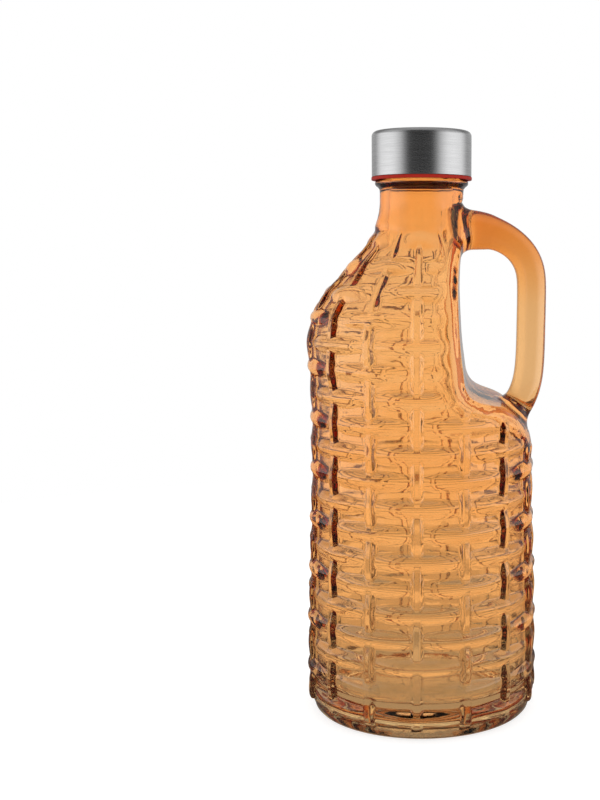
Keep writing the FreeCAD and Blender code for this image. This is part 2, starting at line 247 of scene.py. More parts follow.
def weave(theta, z):
    """Height of the relief above the recessed ground, 0..1."""
    u = (theta - TURN) / TAU * RIBS
    i = np.round(u)
    du = np.abs(u - i) * (TAU * 51.0 / RIBS)
    v = (z - FIRST) / PITCH
    k = np.round(v)
    dz = np.abs(v - k) * PITCH
    # over and under by turns; the odd count meets its like at the seam below the handle
    phase = np.where(np.mod(np.mod(i, RIBS) + k + 1, 2) == 0, 1.0, -1.0)
    cross = phase * np.cos(math.pi * (u - i))        # +1 where a strand is over, -1 under
    # vertical rib, dipping a little where a strand crosses over it
    rib_top = 0.80 - 0.20 * phase * np.cos(math.pi * dz / PITCH)
    crowd = np.clip(ENVELOPE(z) / 46.0, 0, 1)       # the ribs crowd together towards the neck
    rib = bevel(1.2, 3.05, du) * rib_top * (0.3 + 0.7 * crowd)
    # strand, a flat lens that rises over one rib and dives under the next
    half = 2.9 + 0.7 * (0.5 + 0.5 * cross)
    strand_top = (0.66 + 0.36 * cross) * (0.6 + 0.4 * crowd)
    strand = np.clip(1 - (dz / half) ** 2, 0, None) ** 0.85 * strand_top
    low, high = 4.2, 207.0
    rib = rib * smooth(low, low + 2.0, z) * (1 - smooth(high, high + 3.0, z))
    strand = strand * np.where((k < 0) | (k > 18), 0.0, 1.0)
    return np.clip(soft_max(rib, strand, 0.14), 0, 1.05)


def make_outside():
    # columns: 21 to a rib, closest together at its flanks
    offsets = np.array([-8.9, -6.4, -4.4, -3.3, -2.95, -2.55, -2.1, -1.65, -1.2, -0.65,
                        0.0, 0.65, 1.2, 1.65, 2.1, 2.55, 2.95, 3.3, 4.4, 6.4, 8.9]) / (TAU * 51.0 / RIBS)
    thetas = np.concatenate([(i + offsets) / RIBS * TAU + TURN for i in range(RIBS)])
    thetas = np.sort(np.mod(thetas, TAU))
    # rows: eleven to a strand
    rows = [0.0, 0.3, 0.9, 1.8, 2.9, 3.9, 4.8, 5.6]
    for k in range(0, 19):
        for o in (-3.5, -2.9, -2.2, -1.2, 0.0, 1.2, 2.2, 2.9, 3.5, 4.6, 6.3):
            z = FIRST + PITCH * k + o
            if z > rows[-1] + 0.3:
                rows.append(z)
    rows = [z for z in rows if z < 210.0]
    rows += [211.2, 212.8, 214.4, 216.0, 217.8, 219.6, 221.4, 223.2, 224.6, 225.8, 226.8, 227.6, 228.2,
             228.7, 229.2, 229.7, 230.1, 230.4, 230.8, 231.4, 232.4, 233.6]
    rows += list(np.arange(234.4, 241.4, 0.55))
    rows += [242.2, 244.6, 246.8, 247.5, 248.0, 248.3, 248.4]
    rows = np.array(rows)
    fine = np.unique(np.concatenate([
        np.arange(0, 248.41, 0.7), np.arange(108, 150, 0.25), np.arange(0, 10, 0.1),
        np.arange(224, 232, 0.1), np.arange(246.5, 248.4, 0.05), [248.4]]))
    pts = column_points(outer_field, thetas, rows, fine, 60.0, 112.0, 214.0)
    nr, nc = pts.shape[:2]
    # normals of the smooth form
    across = np.roll(pts, -1, axis=1) - np.roll(pts, 1, axis=1)
    along = np.gradient(pts, axis=0)
    normal = np.cross(across, along)
    normal /= np.maximum(np.linalg.norm(normal, axis=-1, keepdims=True), 1e-9)
    theta = np.broadcast_to(thetas, (nr, nc))
    x, y, z = pts[..., 0], pts[..., 1], pts[..., 2]
    h = weave(theta, z)
    # hand-made unevenness of the mould
    h = h * (1 + 0.10 * value_noise(pts, 17.0, 5)) + 0.05 * value_noise(pts, 6.0, 6) * (h > 0.05)
    # smooth margin round the scoop
    wide = 3.6 + 4.6 * smooth(126.0, 146.0, z)
    margin = smooth(wide - 1.0, wide + 1.0, scoop_distance(x, y, z))
    plain = 0.68
    h = margin * h + (1 - margin) * plain
    top = smooth(207.0, 212.0, z)
    bottom = 1 - smooth(2.6, 4.6, z)
    h = h * (1 - bottom) + 0.35 * bottom
    sink = -DEPTH * (1 - h) * (1 - top) - 0.0 * top
    # round the foot and finish stay on the envelope
    foot = smooth(0.0, 2.4, z)
    sink = sink * foot
    # surface waviness of fire-polished glass
    sink = sink + 0.035 * value_noise(pts, 9.0, 11) * smooth(2, 6, z) * (1 - smooth(222, 226, z))
    # four-start thread on the finish
    lead = 12.8
    turn = np.degrees(np.mod(theta, TAU))
    ridge = np.zeros_like(z)
    for start in range(4):
        along_turn = np.mod(turn - 90.0 * start + 20.0, 360.0) - 20.0
        centre = 235.9 + lead * along_turn / 360.0
        d = np.abs(z - centre)
        ends = smooth(0.0, 9.0, along_turn) * (1 - smooth(92.0, 100.8, along_turn))
        ridge = np.maximum(ridge, ends * (1 - smooth(0.28, 0.72, d)))
    sink = sink + 1.05 * ridge
    pts = pts + normal * sink[..., None]
    return pts


def grid_mesh(name, rings, bottom_rings, top_rings):
    """Closed mesh from rings of equal length with a fan at both ends."""
    stack = list(bottom_rings) + list(rings) + list(top_rings)
    nc = len(stack[0])
    verts = np.concatenate(stack)
    faces = []
    for r in range(len(stack) - 1):
        a = r * nc + np.arange(nc)
        b = r * nc + (np.arange(nc) + 1) % nc
        faces.append(np.stack([a, b, b + nc, a + nc], -1))
    faces = np.concatenate(faces).tolist()
    low, high = len(verts), len(verts) + 1
    verts = np.vstack([verts, stack[0].mean(0), stack[-1].mean(0)])
    last = (len(stack) - 1) * nc
    for c in range(nc):
        faces.append((low, (c + 1) % nc, c))
        faces.append((high, last + c, last + (c + 1) % nc))
    mesh = bpy.data.meshes.new(name)
    mesh.from_pydata((verts * MM).tolist(), [], faces)
    mesh.validate()
    obj = bpy.data.objects.new(name, mesh)
    scene.collection.objects.link(obj)
    return obj


def scaled_ring(ring, radius, z):
    direction = ring[:, :2] / np.linalg.norm(ring[:, :2], axis=1, keepdims=True)
    return np.column_stack([direction * radius, np.full(len(ring), z)])


outside_points = make_outside()
ring0 = outside_points[0]
outside = grid_mesh(
    "outside", outside_points,
    [scaled_ring(ring0, r, z) for r, z in (
        (3.0, 3.6), (12.0, 3.55), (20.0, 3.3), (26.0, 2.9), (31.0, 2.2), (34.0, 1.4), (35.8, 0.6),
        (36.8, 0.12), (38.0, 0.0), (42.0, 0.0), (44.8, 0.0))],
    [scaled_ring(outside_points[-1], r, 248.4) for r in (16.4, 15.0, 8.0, 2.0)])


def make_inside():
    thetas = np.arange(96) / 96 * TAU
    rows = np.concatenate([
        [9.2, 9.6, 10.4, 11.6, 13.2, 15.2, 17.6, 20.5], np.arange(24, 120, 3.6),
        np.arange(121, 165, 2.0), np.arange(166, 214, 2.2), np.arange(215, 246, 3.0),
        [246.6, 247.2, 247.7, 248.1, 248.4, 248.8, 256.0]])
    fine = np.unique(np.concatenate([np.arange(9.2, 256, 0.8), np.arange(108, 150, 0.3), np.arange(9.2, 22, 0.2), [256.0]]))
    pts = column_points(inner_field, thetas, rows, fine, 56.0, 108.0, 212.0)
    across = np.roll(pts, -1, axis=1) - np.roll(pts, 1, axis=1)
    along = np.gradient(pts, axis=0)
    normal = np.cross(across, along)
    normal /= np.maximum(np.linalg.norm(normal, axis=-1, keepdims=True), 1e-9)
    z = pts[..., 2]
    calm = smooth(12, 26, z) * (1 - smooth(214, 224, z))
    wave = 0.22 * value_noise(pts, 26.0, 21) + 0.10 * value_noise(pts, 12.0, 22)
    return pts + normal * (wave * calm)[..., None]


inside_points = make_inside()
iring = inside_points[0]
inside = grid_mesh(
    "inside", inside_points,
    [scaled_ring(iring, r, z) for r, z in ((4.0, 9.6), (12.0, 9.45), (20.0, 9.2), (27.0, 9.0), (31.0, 9.02))],
    [scaled_ring(inside_points[-1], r, 256.0) for r in (10.0, 3.0)])


# ---------------------------------------------------------------------- handle
def make_handle():
    """Oval bar along a bent centreline, flared where it joins the glass."""
    line = [(12.0, 209.8), (16.0, 209.8), (20.0, 209.7), (24.0, 209.5), (28.0, 209.0)]
    cx, cz = 28.0, 188.0
    for deg, rad in ((78, 20.35), (66, 19.8), (54, 19.6), (42, 19.55), (30, 19.55), (18, 19.55), (6, 19.55)):
        a = math.radians(deg)
        line.append((cx + rad * math.cos(a), cz + rad * math.sin(a)))
    line += [(47.55, 184.0), (47.5, 176.0), (47.4, 168.0), (47.3, 160.0), (47.0, 152.0), (46.4, 146.0),
             (45.2, 141.0), (43.4, 136.6), (40.9, 132.6), (37.9, 129.2), (34.9, 126.4)]
    line = np.array(line)
    seg = np.r_[0, np.cumsum(np.linalg.norm(np.diff(line, axis=0), axis=1))]
    total = seg[-1]
    count = int(total / 1.35)
    s = np.linspace(0, total, count)
    fx, fz = curve(np.column_stack([seg, line[:, 0]])), curve(np.column_stack([seg, line[:, 1]]))
    for _ in range(1):
        c = np.column_stack([fx(s), fz(s)])
    # light smoothing of the centreline
    for _ in range(12):
        c[1:-1] = 0.25 * c[:-2] + 0.5 * c[1:-1] + 0.25 * c[2:]
    t = np.gradient(c, axis=0)
    t /= np.linalg.norm(t, axis=1, keepdims=True)
    n = np.column_stack([-t[:, 1], t[:, 0]])       # in the plane, to the outside of the bend
    half_w = curve([(0, 9.6), (4, 9.2), (8, 8.7), (12, 8.3), (16, 7.8), (20, 7.0), (25, 6.55), (32, 6.3),
                    (total - 40, 6.25), (total - 30, 6.3), (total - 20, 6.4), (total - 10, 6.6),
                    (total, 6.9)])(s)
    half_d = curve([(0, 13.6), (4, 12.2), (8, 10.8), (12, 9.6), (16, 8.6), (20, 7.8), (25, 7.3), (32, 7.0), (total - 32, 7.0),
                    (total - 22, 7.4), (total - 12, 8.4), (total - 5, 9.6), (total, 10.6)])(s)
    nc = 56
    ang = np.arange(nc) / nc * TAU
    e = 2 / 2.25
    ca = np.sign(np.cos(ang)) * np.abs(np.cos(ang)) ** e
    sa = np.sign(np.sin(ang)) * np.abs(np.sin(ang)) ** e
    rings = []
    for i in range(count):
        p = np.zeros((nc, 3))
        off = half_w[i] * ca
        p[:, 0] = c[i, 0] + n[i, 0] * off
        p[:, 2] = c[i, 1] + n[i, 1] * off
        p[:, 1] = half_d[i] * sa
        rings.append(p)
    return np.array(rings), c, half_w, half_d


handle_rings, handle_line, handle_w, handle_d = make_handle()


def shrink(ring, f):
    return ring.mean(0) + (ring - ring.mean(0)) * f


handle = grid_mesh("handle", handle_rings,
                   [shrink(handle_rings[0], 0.4), shrink(handle_rings[0], 0.8)],
                   [shrink(handle_rings[-1], 0.8), shrink(handle_rings[-1], 0.4)])


def outward(obj):
    bm = bmesh.new()
    bm.from_mesh(obj.data)
    bmesh.ops.recalc_face_normals(bm, faces=bm.faces)
    if bm.calc_volume(signed=True) < 0:
        bmesh.ops.reverse_faces(bm, faces=bm.faces)
    bm.to_mesh(obj.data)
    bm.free()


for o in (outside, inside, handle):
    outward(o)


def boolean(target, tool, operation):
    m = target.modifiers.new("join", "BOOLEAN")
    m.object = tool
    m.operation = operation
    m.solver = "MANIFOLD"
    dg = bpy.context.evaluated_depsgraph_get()
    mesh = bpy.data.meshes.new_from_object(target.evaluated_get(dg))
    target.modifiers.clear()
    old = target.data
    target.data = mesh
    bpy.data.meshes.remove(old)
    bpy.data.objects.remove(tool)


boolean(outside, handle, "UNION")


# fillet where the handle grows out of the body
def handle_field(p):
    """About the distance to the bar's surface, positive inside."""
    q = p[:, [0, 2]]
    d2 = ((q[:, None, :] - handle_line[None]) ** 2).sum(-1)
    i = np.argmin(d2, axis=1)
    c = handle_line[i]
    t = np.gradient(handle_line, axis=0)
    t = (t / np.linalg.norm(t, axis=1, keepdims=True))[i]
    n = np.column_stack([-t[:, 1], t[:, 0]])
    off = ((q - c) * n).sum(1)
    w, d = handle_w[i], handle_d[i]
    e = (np.abs(off / w) ** 2.25 + np.abs(p[:, 1] / d) ** 2.25) ** (1 / 2.25)
    return (1 - e) * np.minimum(w, d)


def fillet(obj, k):
    mesh = obj.data
    co = np.zeros(len(mesh.vertices) * 3, np.float32)
    mesh.vertices.foreach_get("co", co)
    co = co.reshape(-1, 3).astype(float) / MM
    zone = (co[:, 0] > 10) & (np.abs(co[:, 1]) < 26) & (co[:, 2] > 112) & (co[:, 2] < 230)
    idx = np.nonzero(zone)[0]
    p = co[idx]

    def both(q):
        return outer_field(q[:, 0], q[:, 1], q[:, 2]) - DEPTH * 0.38, handle_field(q)

    a, b = both(p)
    near = (np.abs(a) < k) & (np.abs(b) < k) & (a < k * 0.5) & (b < k * 0.5)
    idx, p = idx[near], p[near]

    def total(q):
        a, b = both(q)
        return soft_max(a, b, k)

    for _ in range(6):
        f = total(p)
        g = np.zeros_like(p)
        for ax in range(3):
            dp = np.zeros(3)
            dp[ax] = 0.05
            g[:, ax] = (total(p + dp) - total(p - dp)) / 0.1
        g2 = np.maximum((g * g).sum(1), 0.25)
        stepv = -f[:, None] * g / g2[:, None]
        length = np.linalg.norm(stepv, axis=1, keepdims=True)
        stepv *= np.minimum(1, 0.8 / np.maximum(length, 1e-9))
        p = p + stepv
    co[idx] = p
    mesh.vertices.foreach_set("co", (co * MM).astype(np.float32).ravel())
    mesh.update()
    return len(idx)


moved = fillet(outside, 4.5)
boolean(outside, inside, "DIFFERENCE")
glass = outside
glass.name = "glass_jug"
glass.data.name = "glass_jug"
bm = bmesh.new()
bm.from_mesh(glass.data)
bmesh.ops.remove_doubles(bm, verts=bm.verts, dist=0.00002)
bmesh.ops.dissolve_degenerate(bm, edges=bm.edges, dist=0.00001)
loose = [v for v in bm.verts if not v.link_faces]
bmesh.ops.delete(bm, geom=loose, context="VERTS")
open_edges = sum(1 for e in bm.edges if not e.is_manifold)
bm.to_mesh(glass.data)
bm.free()
for poly in glass.data.polygons:
    poly.use_smooth = True


AMBER = (0.93, 0.41, 0.124)        # tint of one coat
CLEAR = (0.985, 0.995, 0.98)


# amber lacquer: on the outside only, thin at the foot, thick at the neck; painted shade low on the body and at the foot
# is multiplied into the same tint
def lacquer_and_painted_shade(obj):
    mesh = obj.data
    co = np.zeros(len(mesh.vertices) * 3, np.float32)
    mesh.vertices.foreach_get("co", co)
    x, y, z = (co.reshape(-1, 3).astype(float) / MM).T
    depth = outer_field(x, y, z)
    inner = (np.abs(inner_field(x, y, z)) < 1.2) & (z > 9.6) & (z < 248.0)
    inner |= (z > 8.0) & (z < 11.0) & (np.hypot(x, y) < 42.0)
    coat = curve([(0, 0.50), (8, 0.62), (14, 0.90), (30, 0.96), (70, 1.02), (120, 1.08), (160, 0.93), (190, 0.93),
                  (204, 1.05), (216, 1.25), (232, 1.3), (249, 1.2)])(z)
    bar = curve([(120, 0.9), (150, 0.70), (175, 0.76), (190, 1.02), (202, 1.32), (212, 1.5)])(z)
    on_bar = smooth(1.0, 5.0, -depth) * (z > 110)
    coat = coat * (1 - on_bar) + bar * on_bar
    coat = coat * (1 + 0.05 * value_noise(np.column_stack([x, y, z]), 22.0, 31))
    coat = np.where(inner, 0.0, coat)
    # darkening multiplied into the outside tint: a little everywhere, more on the handle bar, and painted shade low on
    # the body, in a band from 9 to 30 mm and strongest at the foot below 4 to 8 mm where the jug stands on the floor
    dim_and_painted_shade = 0.94 - 0.19 * on_bar - 0.01 * (1 - smooth(20.0, 70.0, z))
    dim_and_painted_shade = dim_and_painted_shade - 0.16 * smooth(9.0, 14.0, z) * (1 - smooth(18.0, 30.0, z)) - 0.58 * (1 - smooth(4.0, 8.0, z))
    dim_and_painted_shade = np.where(inner, 1.0, dim_and_painted_shade)
    tint = np.array(CLEAR) * np.array(AMBER) ** coat[:, None] * dim_and_painted_shade[:, None]
    att = mesh.attributes.new("lacquer_and_painted_shade", "FLOAT_COLOR", "POINT")
    att.data.foreach_set("color", np.column_stack([tint, np.ones(len(tint))]).astype(np.float32).ravel())


lacquer_and_painted_shade(glass)
tri_count = sum(len(p.vertices) - 2 for p in glass.data.polygons)
print("GLASS triangles", tri_count, "open edges", open_edges, "fillet verts", moved)


# ------------------------------------------------------------------------- cap
def lathe(name, profile, segments=192, closed=True):
    """Turned piece: profile is a list of (radius, z), closed on itself or on the axis."""
    prof = np.array(profile, float)
    ang = np.arange(segments) / segments * TAU
    verts, faces, uvs = [], [], []
    rows = []
    for r, z in prof:
        if r < 1e-6:
            rows.append([len(verts)])
            verts.append((0, 0, z))
        else:
            rows.append(list(range(len(verts), len(verts) + segments)))
            verts += [(r * math.cos(a), r * math.sin(a), z) for a in ang]
    pairs = list(zip(rows[:-1], rows[1:]))
    if closed:
        pairs.append((rows[-1], rows[0]))
    for a, b in pairs:
        for c in range(segments):
            d = (c + 1) % segments
            if len(a) == 1 and len(b) == 1:
                continue
            if len(a) == 1:
                faces.append((a[0], b[c], b[d]))
            elif len(b) == 1:
                faces.append((a[c], b[0], a[d]))
            else:
                faces.append((a[c], b[c], b[d], a[d]))
    mesh = bpy.data.meshes.new(name)
    mesh.from_pydata([tuple(x * MM for x in v) for v in verts], [], faces)
    mesh.validate()
    obj = bpy.data.objects.new(name, mesh)
    scene.collection.objects.link(obj)
    outward(obj)
    for poly in mesh.polygons:
        poly.use_smooth = True
    return obj


def arc(cr, cz, radius, a0, a1, n):
    return [(cr + radius * math.cos(math.radians(a)), cz + radius * math.sin(math.radians(a)))
            for a in np.linspace(a0, a1, n)]


overcap_profile = (
    [(0, 251.2), (6, 251.2), (12, 251.2), (17, 251.195), (18.6, 251.18)]
    + arc(19.25, 249.1, 2.08, 92, 0, 14)
    + [(21.35, 246), (21.35, 240), (21.35, 235)]
    + arc(21.15, 232.27, 0.2, 0, -180, 9)
    + [(20.95, 236), (20.95, 244)]
    + arc(19.35, 249.2, 1.6, 0, 90, 10)
    + [(15, 250.8), (0, 250.8)])
overcap = lathe("steel_cap", overcap_profile)


def make_insert():
    """Red cup with a four-start thread inside and a flange below."""
    nc, lead = 256, 12.8
    ang = np.arange(nc) / nc * TAU
    deg = np.degrees(ang)
    rings = []

    def ring(r, z):
        return np.column_stack([np.full(nc, r) * np.cos(ang), np.full(nc, r) * np.sin(ang),
                                np.full(nc, z)])
    for r, z in ([(0.6, 250.77), (8, 250.77), (15, 250.77), (18.6, 250.77)]
                 + arc(19.0, 248.87, 1.9, 88, 0, 9)
                 + [(20.9, 246), (20.9, 240), (20.9, 234), (20.9, 232.2), (20.95, 232.0), (21.2, 231.98)]
                 + arc(21.3, 231.73, 0.25, 85, 0, 5) + arc(21.3, 230.87, 0.25, 0, -88, 5)
                 + [(20.8, 230.6)] + arc(20.15, 230.85, 0.25, -90, -180, 5)):
        rings.append(ring(r, z))
    zs = np.concatenate([[231.6, 232.4, 233.0], np.arange(233.2, 239.4, 0.22), [240, 242, 245, 248, 249.6, 249.9]])
    for z in zs:
        ridge = np.zeros(nc)
        for start in range(4):
            turn = np.mod(deg - 90 * start + 20, 360) - 20
            centre = 234.3 + lead * turn / 360
            ends = smooth(0, 8, turn) * (1 - smooth(93, 100.8, turn))
            ridge = np.maximum(ridge, ends * (1 - smooth(0.26, 0.58, np.abs(z - centre))))
        r = 19.9 - 1.05 * ridge
        rings.append(np.column_stack([r * np.cos(ang), r * np.sin(ang), np.full(nc, z)]))
    for r, z in [(19.7, 249.99), (15, 249.99), (8, 249.99), (0.6, 249.99)]:
        rings.append(ring(r, z))
    obj = grid_mesh("red_insert", rings, [], [])
    outward(obj)
    for poly in obj.data.polygons:
        poly.use_smooth = True
    return obj


insert = make_insert()
liner = lathe("seal_disc", [(0, 248.42), (13.2, 248.42), (13.6, 248.46), (17.6, 248.46), (18.0, 248.42), (19.0, 248.42)]
              + arc(19.05, 248.77, 0.35, -90, 0, 5) + arc(19.05, 249.62, 0.35, 0, 90, 5)
              + [(15, 249.97), (0, 249.97)], segments=128)


# ------------------------------------------------------------------- materials
def new_material(name):
    m = bpy.data.materials.new(name)
    m.use_nodes = True
    nt = m.node_tree
    nt.nodes.clear()
    out = nt.nodes.new("ShaderNodeOutputMaterial")
    bsdf = nt.nodes.new("ShaderNodeBsdfPrincipled")
    nt.links.new(bsdf.outputs[0], out.inputs["Surface"])
    return m, nt, bsdf, out


def set_stops(ramp, stops):
    """Replace the stops of a colour ramp with (position, (r, g, b)) pairs."""
    els = ramp.color_ramp.elements
    while len(els) > 1:
        els.remove(els[-1])
    els[0].position, els[0].color = stops[0][0], (*stops[0][1], 1)
    for pos, colour in stops[1:]:
        els.new(pos).color = (*colour, 1)




def glass_material():
    m, nt, bsdf, out = new_material("amber_glass")
    bsdf.inputs["Transmission Weight"].default_value = 1.0
    bsdf.inputs["IOR"].default_value = 1.52
    bsdf.inputs["Roughness"].default_value = 0.05
    # tint of the lacquer, with painted shade low on the body and at the foot multiplied in
    att = nt.nodes.new("ShaderNodeAttribute")
    att.attribute_name = "lacquer_and_painted_shade"
    nt.links.new(att.outputs["Color"], bsdf.inputs["Base Color"])
    # faint ripple of the fire-polished skin
    coord = nt.nodes.new("ShaderNodeTexCoord")
    noise = nt.nodes.new("ShaderNodeTexNoise")
    noise.inputs["Scale"].default_value = 190.0
    noise.inputs["Detail"].default_value = 2.0
    bump = nt.nodes.new("ShaderNodeBump")
    bump.inputs["Strength"].default_value = 0.10
    bump.inputs["Distance"].default_value = 0.0006
    nt.links.new(coord.outputs["Object"], noise.inputs["Vector"])
    nt.links.new(noise.outputs["Fac"], bump.inputs["Height"])
    nt.links.new(bump.outputs["Normal"], bsdf.inputs["Normal"])
    vol = nt.nodes.new("ShaderNodeVolumeAbsorption")
    vol.inputs["Color"].default_value = (0.72, 0.74, 0.66, 1)
    vol.inputs["Density"].default_value = 12.0
    nt.links.new(vol.outputs[0], out.inputs["Volume"])
    return m


def steel_material():
    m, nt, bsdf, out = new_material("brushed_steel")
    bsdf.inputs["Metallic"].default_value = 1.0
    bsdf.inputs["Anisotropic"].default_value = 0.5
    bsdf.inputs["Anisotropic Rotation"].default_value = 0.25
    coord = nt.nodes.new("ShaderNodeTexCoord")
    sep = nt.nodes.new("ShaderNodeSeparateXYZ")
    nt.links.new(coord.outputs["Object"], sep.inputs[0])
    # round the axis: angle, height and radius
    angle = nt.nodes.new("ShaderNodeMath"); angle.operation = "ARCTAN2"
    nt.links.new(sep.outputs["Y"], angle.inputs[0]); nt.links.new(sep.outputs["X"], angle.inputs[1])
    rad = nt.nodes.new("ShaderNodeVectorMath"); rad.operation = "LENGTH"
    flat = nt.nodes.new("ShaderNodeCombineXYZ")
    nt.links.new(sep.outputs["X"], flat.inputs["X"]); nt.links.new(sep.outputs["Y"], flat.inputs["Y"])
    nt.links.new(flat.outputs[0], rad.inputs[0])
    sa = nt.nodes.new("ShaderNodeMath"); sa.operation = "MULTIPLY"; sa.inputs[1].default_value = 1.6
    nt.links.new(angle.outputs[0], sa.inputs[0])
    sz = nt.nodes.new("ShaderNodeMath"); sz.operation = "MULTIPLY"; sz.inputs[1].default_value = 5200.0
    nt.links.new(sep.outputs["Z"], sz.inputs[0])
    sr = nt.nodes.new("ShaderNodeMath"); sr.operation = "MULTIPLY"; sr.inputs[1].default_value = 5200.0
    nt.links.new(rad.outputs["Value"], sr.inputs[0])
    vec = nt.nodes.new("ShaderNodeCombineXYZ")
    nt.links.new(sa.outputs[0], vec.inputs["X"]); nt.links.new(sz.outputs[0], vec.inputs["Y"])
    nt.links.new(sr.outputs[0], vec.inputs["Z"])
    noise = nt.nodes.new("ShaderNodeTexNoise")
    noise.inputs["Scale"].default_value = 1.0
    noise.inputs["Detail"].default_value = 3.0
    nt.links.new(vec.outputs[0], noise.inputs["Vector"])
    ramp = nt.nodes.new("ShaderNodeValToRGB")
    ramp.color_ramp.elements[0].position, ramp.color_ramp.elements[0].color = 0.30, (0.50, 0.50, 0.505, 1)
    ramp.color_ramp.elements[1].position, ramp.color_ramp.elements[1].color = 0.70, (0.66, 0.66, 0.665, 1)
    nt.links.new(noise.outputs["Fac"], ramp.inputs[0])
    nt.links.new(ramp.outputs[0], bsdf.inputs["Base Color"])
    rough = nt.nodes.new("ShaderNodeMapRange")
    rough.inputs["To Min"].default_value, rough.inputs["To Max"].default_value = 0.20, 0.32
    nt.links.new(noise.outputs["Fac"], rough.inputs["Value"])
    nt.links.new(rough.outputs[0], bsdf.inputs["Roughness"])
    bump = nt.nodes.new("ShaderNodeBump")
    bump.inputs["Strength"].default_value = 0.12
    bump.inputs["Distance"].default_value = 0.00008
    nt.links.new(noise.outputs["Fac"], bump.inputs["Height"])
    nt.links.new(bump.outputs["Normal"], bsdf.inputs["Normal"])
    tangent = nt.nodes.new("ShaderNodeTangent")
    tangent.direction_type = "RADIAL"
    tangent.axis = "Z"
    nt.links.new(tangent.outputs[0], bsdf.inputs["Tangent"])
    return m


def plastic_material(name, low, high, rough_low, rough_high, scale, shine):
    m, nt, bsdf, out = new_material(name)
    bsdf.inputs["Specular IOR Level"].default_value = shine
    coord = nt.nodes.new("ShaderNodeTexCoord")
    noise = nt.nodes.new("ShaderNodeTexNoise")
    noise.inputs["Scale"].default_value = scale
    noise.inputs["Detail"].default_value = 4.0
    nt.links.new(coord.outputs["Object"], noise.inputs["Vector"])
    ramp = nt.nodes.new("ShaderNodeValToRGB")
    ramp.color_ramp.elements[0].position, ramp.color_ramp.elements[0].color = 0.3, (*low, 1)
    ramp.color_ramp.elements[1].position, ramp.color_ramp.elements[1].color = 0.7, (*high, 1)
    nt.links.new(noise.outputs["Fac"], ramp.inputs[0])
    nt.links.new(ramp.outputs[0], bsdf.inputs["Base Color"])
    rough = nt.nodes.new("ShaderNodeMapRange")
    rough.inputs["To Min"].default_value, rough.inputs["To Max"].default_value = rough_low, rough_high
    nt.links.new(noise.outputs["Fac"], rough.inputs["Value"])
    nt.links.new(rough.outputs[0], bsdf.inputs["Roughness"])
    bump = nt.nodes.new("ShaderNodeBump")
    bump.inputs["Strength"].default_value = 0.15
    bump.inputs["Distance"].default_value = 0.0001
    nt.links.new(noise.outputs["Fac"], bump.inputs["Height"])
    nt.links.new(bump.outputs["Normal"], bsdf.inputs["Normal"])
    return m


glass.data.materials.clear()
glass.data.materials.append(glass_material())
overcap.data.materials.append(steel_material())
insert.data.materials.append(plastic_material(
    "red_plastic", (0.30, 0.010, 0.004), (0.37, 0.015, 0.006), 0.42, 0.55, 900.0, 0.15))
liner.data.materials.append(plastic_material(
    "foam_liner", (0.70, 0.69, 0.66), (0.80, 0.79, 0.76), 0.6, 0.8, 1500.0, 0.4))

for piece, body, node, slot in (
        (glass, "bottle", "glass_bottle", "amber_glass"),
        (overcap, "cap", "steel_overcap", "cap_steel"),
        (insert, "cap", "threaded_insert", "cap_red"),
        (liner, "seal", "sealing_liner", "liner_white")):
    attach(piece, body)
    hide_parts(node)

# ----------------------------------------------------------------------- stage
floor_mesh = bpy.data.meshes.new("floor")
fb = bmesh.new()
bmesh.ops.create_circle(fb, cap_ends=True, cap_tris=False, segments=96, radius=0.55)
fb.to_mesh(floor_mesh)
fb.free()
floor = bpy.data.objects.new("floor", floor_mesh)
floor.location.z = -0.0002
scene.collection.objects.link(floor)
fm, fnt, fbsdf, f_out = new_material("pale_floor")
fbsdf.inputs["Base Color"].default_value = (0.42, 0.42, 0.42, 1)
fbsdf.inputs["Roughness"].default_value = 0.7
fbsdf.inputs["Specular IOR Level"].default_value = 0.0
fbsdf.inputs["Emission Color"].default_value = (1, 1, 1, 1)
fbsdf.inputs["Emission Strength"].default_value = 0.72
floor_mesh.materials.append(fm)

WALL = 1.32       # brightness of the room's walls through the glass
ROOM = 1.1         # brightness of the room that lights the floor


class Graph:
    """Short hand for the value nodes of one node tree."""

    def __init__(self, tree):
        self.tree = tree

    def put(self, socket, value):
        if isinstance(value, (int, float)):
            socket.default_value = value
        elif value is not None:
            self.tree.links.new(value, socket)

    def math(self, op, a, b=None, c=None):
        n = self.tree.nodes.new("ShaderNodeMath")
        n.operation = op
        for i, v in enumerate((a, b, c)):
            self.put(n.inputs[i], v)
        return n.outputs[0]

    def range(self, value, low, high, to_low=0.0, to_high=1.0):
        n = self.tree.nodes.new("ShaderNodeMapRange")
        n.interpolation_type = "SMOOTHSTEP"
        n.inputs["From Min"].default_value, n.inputs["From Max"].default_value = low, high
        n.inputs["To Min"].default_value, n.inputs["To Max"].default_value = to_low, to_high
        self.put(n.inputs["Value"], value)
        return n.outputs[0]

    def mix(self, factor, a, b):
        n = self.tree.nodes.new("ShaderNodeMix")
        n.data_type = "FLOAT"
        for i, v in ((0, factor), (2, a), (3, b)):
            self.put(n.inputs[i], v)
        return n.outputs[0]

    def ramp(self, value, stops):
        n = self.tree.nodes.new("ShaderNodeValToRGB")
        set_stops(n, [(pos, (v, v, v)) for pos, v in stops])
        self.put(n.inputs[0], value)
        return n.outputs[0]

    def length(self, a, b):
        return self.math("SQRT", self.math("ADD", self.math("MULTIPLY", a, a), self.math("MULTIPLY", b, b)))


